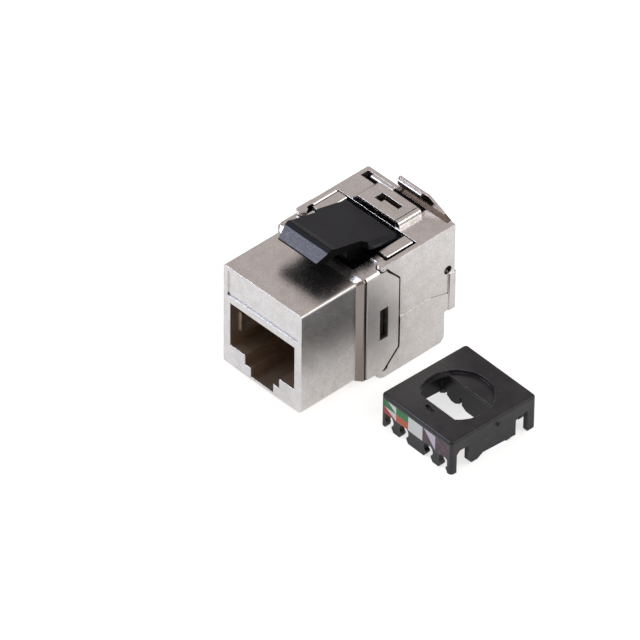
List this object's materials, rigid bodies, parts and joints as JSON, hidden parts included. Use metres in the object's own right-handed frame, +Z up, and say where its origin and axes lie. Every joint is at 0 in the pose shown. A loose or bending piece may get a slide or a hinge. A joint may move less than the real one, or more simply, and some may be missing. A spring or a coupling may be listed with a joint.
{
  "type": "keystone jack",
  "caption": "Shielded keystone jack with a cast metal body, hinged rear doors and a black latch clip, its wire cap lying beside it.",
  "frame": {"origin": "middle of the port mouth, on the front face", "axes": "+X across the jack to the right seen from the port, +Y from the port to the cable end, +Z up"},
  "size_m": [0.0367, 0.0264, 0.0219],
  "materials": {
    "plated_zinc": "nickel-plated zinc casting, satin with a fine tumbled grain",
    "pin_steel": "plain steel pin",
    "spring_steel": "bright spring strip",
    "black_insert": "black moulded insert",
    "black_clip": "black satin moulding",
    "black_cap": "black satin moulding with worn edges",
    "board_green": "green lacquered board",
    "label_print": "colour-coded wiring label, satin film",
    "gold_contact": "gold-plated spring wire",
    "tinned_blade": "tinned bronze blade"
  },
  "bodies": {
    "housing": {"front_housing": "plated_zinc", "contact_carrier": "black_insert", "circuit_board": "board_green", "wire_block": "black_insert", "shield_spring_left": "spring_steel", "shield_spring_right": "spring_steel", "wire_cap": "black_cap", "wiring_label": "label_print", "spring_contact_1": "gold_contact", "spring_contact_2": "gold_contact", "spring_contact_3": "gold_contact", "spring_contact_4": "gold_contact", "spring_contact_5": "gold_contact", "spring_contact_6": "gold_contact", "spring_contact_7": "gold_contact", "spring_contact_8": "gold_contact", "wire_blade_upper_1": "tinned_blade", "wire_blade_upper_2": "tinned_blade", "wire_blade_upper_3": "tinned_blade", "wire_blade_upper_4": "tinned_blade", "wire_blade_lower_1": "tinned_blade", "wire_blade_lower_2": "tinned_blade", "wire_blade_lower_3": "tinned_blade", "wire_blade_lower_4": "tinned_blade"},
    "left_door": {"left_door": "plated_zinc", "hinge_pin_left": "pin_steel", "low_hinge_pin_left": "pin_steel"},
    "right_door": {"right_door": "plated_zinc", "hinge_pin_right": "pin_steel", "low_hinge_pin_right": "pin_steel"},
    "clip": {"latch_clip": "black_clip"}
  },
  "joints": [
    {"name": "right_door_swing", "type": "hinge", "parent": "housing", "child": "right_door", "pos_m": [0.00745, 0.0139, 0], "axis": [0, 0, -1], "range_deg": [0, 40]},
    {"name": "left_door_swing", "type": "hinge", "parent": "housing", "child": "left_door", "pos_m": [-0.00745, 0.0139, 0], "axis": [0, 0, 1], "range_deg": [0, 85]},
    {"name": "clip_flex", "type": "hinge", "parent": "housing", "child": "clip", "pos_m": [0, 0.0184, 0.0087], "axis": [1, 0, 0], "range_deg": [0, 8], "stiffness_Nm_per_rad": 0.35}
  ]
}
